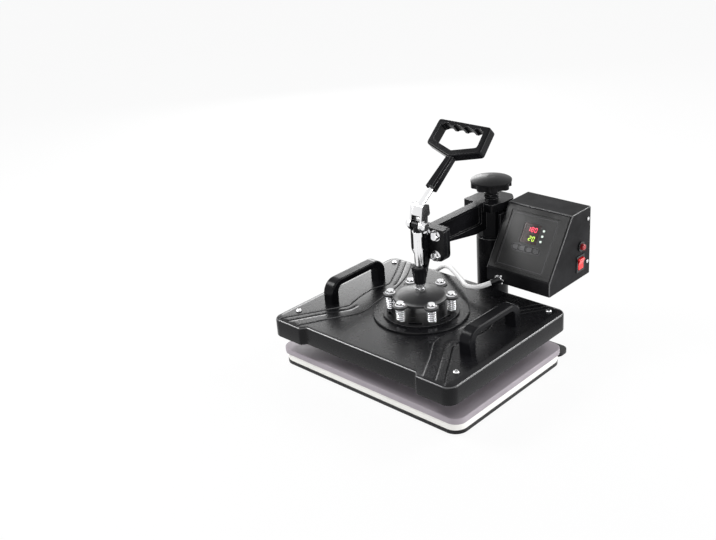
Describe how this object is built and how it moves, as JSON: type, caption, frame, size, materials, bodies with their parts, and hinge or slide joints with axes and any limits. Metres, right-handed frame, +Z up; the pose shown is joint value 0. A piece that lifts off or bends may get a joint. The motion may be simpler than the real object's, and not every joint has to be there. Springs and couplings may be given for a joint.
{
  "type": "combo heat press",
  "caption": "Swing-away bench heat press: padded base, post and swing arm, lever-driven hot platen on a sprung spider, and a sloping control box.",
  "frame": {"origin": "on the bench, under the middle of the whole machine at rest", "axes": "+Z up, +Y to the rear where the post is, +X to the right of someone working at the front; the post, plunger and lever lie in the plane x = 0"},
  "size_m": [0.392, 0.4236, 0.391],
  "materials": {
    "base_black": "satin black powder coat, lightly orange-peeled",
    "cover_black": "satin black enamel over pressed steel, soft highlights on the pressed edges",
    "cast_black": "semi-gloss black paint over cast iron",
    "box_black": "fine textured charcoal black powder coat",
    "chrome": "bright plating",
    "zinc_steel": "zinc plated steel",
    "spring_steel": "bright plated spring wire",
    "heating_aluminium": "dark non-stick coating on cast aluminium",
    "grip_black": "matt moulded plastic with a fine grain",
    "knob_black": "matt moulded phenolic",
    "foot_rubber": "matt black rubber",
    "silicone": "matt mauve-grey silicone rubber with a faint grain",
    "foam": "white closed-cell foam",
    "insulation": "off-white glass fibre blanket",
    "bronze": "plain bronze bush",
    "heater": "heat-tinted steel tube",
    "panel_film": "dark blue-black satin film",
    "key_grey": "satin grey keys",
    "display_dark": "dark smoked display window",
    "led_clear": "clear lamp lens, unlit",
    "switch_black": "glossy black moulding",
    "switch_red": "glossy translucent red moulding",
    "board_green": "green circuit board",
    "cable_white": "white silicone and glass-fibre sleeve"
  },
  "bodies": {
    "root": {"rubber_feet": "foot_rubber", "base_frame": "base_black", "base_tray": "base_black", "foot_screws": "zinc_steel", "foam_pad": "foam", "silicone_pad": "silicone", "post": "cast_black", "post_bolts": "zinc_steel", "post_bushes": "bronze", "screw_seat": "zinc_steel"},
    "spindle": {"spindle": "zinc_steel", "spindle_nut": "cast_black"},
    "knob": {"pressure_knob": "knob_black", "pressure_screw": "zinc_steel"},
    "arm": {"arm_casting": "cast_black", "hub_bushes": "bronze", "press_head": "cast_black", "flange_bolts": "chrome", "plunger_bush": "cast_black", "fulcrum_pin": "chrome", "box_bracket": "cast_black", "box_shell": "box_black", "box_back": "box_black", "face_panel": "panel_film", "display_module": "display_dark", "indicator_leds": "led_clear", "controller_board": "board_green", "cable_connector": "switch_black", "heater_cable": "cable_white", "power_inlet": "switch_black", "switch_housing": "switch_black", "reset_bezel": "switch_black", "box_screws": "zinc_steel"},
    "key_left": {"key_1": "key_grey"},
    "key_mid_left": {"key_2": "key_grey"},
    "key_mid_right": {"key_3": "key_grey"},
    "key_right": {"key_4": "key_grey"},
    "rocker": {"rocker_switch": "switch_red"},
    "reset": {"reset_button": "switch_red"},
    "platen": {"plunger_shaft": "chrome", "plunger_head": "cast_black", "head_pin": "chrome", "lock_nut": "zinc_steel", "upper_spider": "cast_black", "platen_bolts": "chrome", "pressure_springs": "spring_steel", "spring_plate": "cast_black", "hub_disc": "cover_black", "platen_cover": "cover_black", "handle_left": "grip_black", "handle_right": "grip_black", "handle_screws": "zinc_steel", "insulation": "insulation", "heating_plate": "heating_aluminium", "heater_element": "heater", "cover_screws": "zinc_steel", "cable_gland": "switch_black"},
    "lever": {"lever_fork": "chrome", "lever_rod": "chrome", "lever_grip": "grip_black"}
  },
  "joints": [
    {"name": "arm_lift", "type": "slide", "parent": "root", "child": "spindle", "axis": [0, 0, 1], "range_m": [0, 0.006]},
    {"name": "knob_turn", "type": "hinge", "parent": "spindle", "child": "knob", "pos_m": [0, 0.15375, 0.265], "axis": [0, 0, 1], "range_deg": [0, 1080]},
    {"name": "arm_swing", "type": "hinge", "parent": "spindle", "child": "arm", "pos_m": [0, 0.15375, 0.2], "axis": [0, 0, 1], "range_deg": [0, 110]},
    {"name": "lever_press", "type": "hinge", "parent": "arm", "child": "lever", "pos_m": [0, -0.03125, 0.2382], "axis": [1, 0, 0], "range_deg": [0, 85.3]},
    {"name": "press_stroke", "type": "slide", "parent": "arm", "child": "platen", "axis": [0, 0, -1], "range_m": [0, 0.0286]},
    {"name": "key_left_press", "type": "slide", "parent": "arm", "child": "key_left", "axis": [0, 0.8308, -0.5566], "range_m": [0, 0.0006], "stiffness_N_per_m": 1500},
    {"name": "key_mid_left_press", "type": "slide", "parent": "arm", "child": "key_mid_left", "axis": [0, 0.8308, -0.5566], "range_m": [0, 0.0006], "stiffness_N_per_m": 1500},
    {"name": "key_mid_right_press", "type": "slide", "parent": "arm", "child": "key_mid_right", "axis": [0, 0.8308, -0.5566], "range_m": [0, 0.0006], "stiffness_N_per_m": 1500},
    {"name": "key_right_press", "type": "slide", "parent": "arm", "child": "key_right", "axis": [0, 0.8308, -0.5566], "range_m": [0, 0.0006], "stiffness_N_per_m": 1500},
    {"name": "rocker_tilt", "type": "hinge", "parent": "arm", "child": "rocker", "pos_m": [0.163, 0.17975, 0.144], "axis": [0, -1, 0], "range_deg": [0, 18]},
    {"name": "reset_press", "type": "slide", "parent": "arm", "child": "reset", "axis": [-1, 0, 0], "range_m": [0, 0.003], "stiffness_N_per_m": 400}
  ],
  "couplings": [
    {"joint": "knob_turn", "follows": "arm_lift", "rad_per_m": 3141.6},
    {"joint": "press_stroke", "follows": "lever_press", "m_per_rad": 0.01919}
  ]
}
